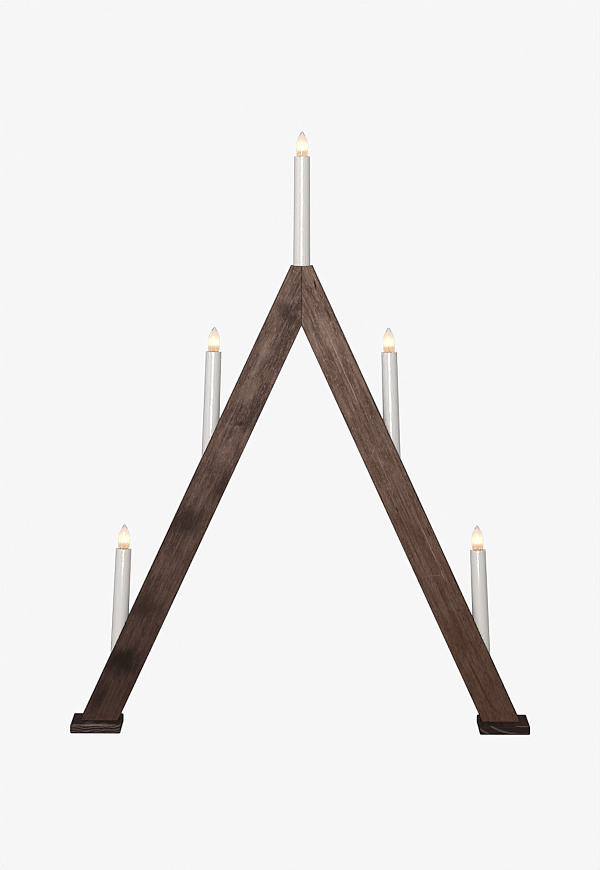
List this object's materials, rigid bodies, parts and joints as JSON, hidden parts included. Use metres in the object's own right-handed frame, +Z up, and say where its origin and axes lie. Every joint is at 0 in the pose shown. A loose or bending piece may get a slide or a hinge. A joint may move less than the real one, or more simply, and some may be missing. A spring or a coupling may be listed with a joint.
{
  "type": "electric candle arch",
  "caption": "A-shaped electric candle arch in dark stained wood, with white candle tubes and clear screw-in bulbs on the apex and along both legs.",
  "frame": {"origin": "on the floor, midway between the two feet", "axes": "+X to the right along the arch seen from the front, +Y from front to back, +Z up"},
  "size_m": [0.5994, 0.11, 0.7824],
  "materials": {
    "stained_wood": "dark brown stain, satin",
    "plain_wood": "bare beech",
    "screw_steel": "zinc plated",
    "grommet_rubber": "matt black",
    "lead_insulation": "white insulation",
    "candle_plastic": "glossy white",
    "holder_plastic": "matt white",
    "contact_brass": "bright",
    "cap_metal": "pressed and bright",
    "tip_metal": "solder tip in a dark insulator",
    "bulb_glass": "clear",
    "stem_glass": "clear",
    "filament_wire": "lit warm"
  },
  "bodies": {
    "frame": {"left_leg": "stained_wood", "right_leg": "stained_wood", "left_foot": "stained_wood", "right_foot": "stained_wood", "left_wire_cover": "stained_wood", "right_wire_cover": "stained_wood", "apex_dowels": "plain_wood", "foot_screws": "screw_steel", "cord_grommet": "grommet_rubber", "left_lower_lead": "lead_insulation", "left_upper_lead": "lead_insulation", "right_lower_lead": "lead_insulation", "right_upper_lead": "lead_insulation", "supply_lead": "lead_insulation", "candle_tube_top": "candle_plastic", "lampholder_top": "holder_plastic", "socket_shell_top": "contact_brass", "centre_contact_top": "contact_brass", "candle_tube_middle_left": "candle_plastic", "lampholder_middle_left": "holder_plastic", "socket_shell_middle_left": "contact_brass", "centre_contact_middle_left": "contact_brass", "candle_tube_lower_left": "candle_plastic", "lampholder_lower_left": "holder_plastic", "socket_shell_lower_left": "contact_brass", "centre_contact_lower_left": "contact_brass", "candle_tube_middle_right": "candle_plastic", "lampholder_middle_right": "holder_plastic", "socket_shell_middle_right": "contact_brass", "centre_contact_middle_right": "contact_brass", "candle_tube_lower_right": "candle_plastic", "lampholder_lower_right": "holder_plastic", "socket_shell_lower_right": "contact_brass", "centre_contact_lower_right": "contact_brass"},
    "tip_top": {"bulb_contact_top": "tip_metal"},
    "bulb_top": {"bulb_glass_top": "bulb_glass", "bulb_cap_top": "cap_metal", "bulb_stem_top": "stem_glass", "bulb_filament_top": "filament_wire"},
    "tip_middle_left": {"bulb_contact_middle_left": "tip_metal"},
    "bulb_middle_left": {"bulb_glass_middle_left": "bulb_glass", "bulb_cap_middle_left": "cap_metal", "bulb_stem_middle_left": "stem_glass", "bulb_filament_middle_left": "filament_wire"},
    "tip_lower_left": {"bulb_contact_lower_left": "tip_metal"},
    "bulb_lower_left": {"bulb_glass_lower_left": "bulb_glass", "bulb_cap_lower_left": "cap_metal", "bulb_stem_lower_left": "stem_glass", "bulb_filament_lower_left": "filament_wire"},
    "tip_middle_right": {"bulb_contact_middle_right": "tip_metal"},
    "bulb_middle_right": {"bulb_glass_middle_right": "bulb_glass", "bulb_cap_middle_right": "cap_metal", "bulb_stem_middle_right": "stem_glass", "bulb_filament_middle_right": "filament_wire"},
    "tip_lower_right": {"bulb_contact_lower_right": "tip_metal"},
    "bulb_lower_right": {"bulb_glass_lower_right": "bulb_glass", "bulb_cap_lower_right": "cap_metal", "bulb_stem_lower_right": "stem_glass", "bulb_filament_lower_right": "filament_wire"}
  },
  "joints": [
    {"name": "bulb_lift_top", "type": "slide", "parent": "frame", "child": "tip_top", "axis": [0, 0, 1], "range_m": [0, 0.0082]},
    {"name": "bulb_turn_top", "type": "hinge", "parent": "tip_top", "child": "bulb_top", "pos_m": [0, 0, 0.7503], "axis": [0, 0, 1], "range_deg": [0, 1620]},
    {"name": "bulb_lift_middle_left", "type": "slide", "parent": "frame", "child": "tip_middle_left", "axis": [0.0332, 0, 0.9995], "range_m": [0, 0.0082]},
    {"name": "bulb_turn_middle_left", "type": "hinge", "parent": "tip_middle_left", "child": "bulb_middle_left", "pos_m": [-0.11453, 0, 0.49542], "axis": [0.0332, 0, 0.9995], "range_deg": [0, 1620]},
    {"name": "bulb_lift_lower_left", "type": "slide", "parent": "frame", "child": "tip_lower_left", "axis": [0.0454, 0, 0.999], "range_m": [0, 0.0082]},
    {"name": "bulb_turn_lower_left", "type": "hinge", "parent": "tip_lower_left", "child": "bulb_lower_left", "pos_m": [-0.23184, 0, 0.23647], "axis": [0.0454, 0, 0.999], "range_deg": [0, 1620]},
    {"name": "bulb_lift_middle_right", "type": "slide", "parent": "frame", "child": "tip_middle_right", "axis": [-0.0332, 0, 0.9995], "range_m": [0, 0.0082]},
    {"name": "bulb_turn_middle_right", "type": "hinge", "parent": "tip_middle_right", "child": "bulb_middle_right", "pos_m": [0.11453, 0, 0.49542], "axis": [-0.0332, 0, 0.9995], "range_deg": [0, 1620]},
    {"name": "bulb_lift_lower_right", "type": "slide", "parent": "frame", "child": "tip_lower_right", "axis": [-0.0454, 0, 0.999], "range_m": [0, 0.0082]},
    {"name": "bulb_turn_lower_right", "type": "hinge", "parent": "tip_lower_right", "child": "bulb_lower_right", "pos_m": [0.23184, 0, 0.23647], "axis": [-0.0454, 0, 0.999], "range_deg": [0, 1620]}
  ],
  "couplings": [
    {"joint": "bulb_lift_top", "follows": "bulb_turn_top", "m_per_rad": 0.00028871},
    {"joint": "bulb_lift_middle_left", "follows": "bulb_turn_middle_left", "m_per_rad": 0.00028871},
    {"joint": "bulb_lift_lower_left", "follows": "bulb_turn_lower_left", "m_per_rad": 0.00028871},
    {"joint": "bulb_lift_middle_right", "follows": "bulb_turn_middle_right", "m_per_rad": 0.00028871},
    {"joint": "bulb_lift_lower_right", "follows": "bulb_turn_lower_right", "m_per_rad": 0.00028871}
  ]
}
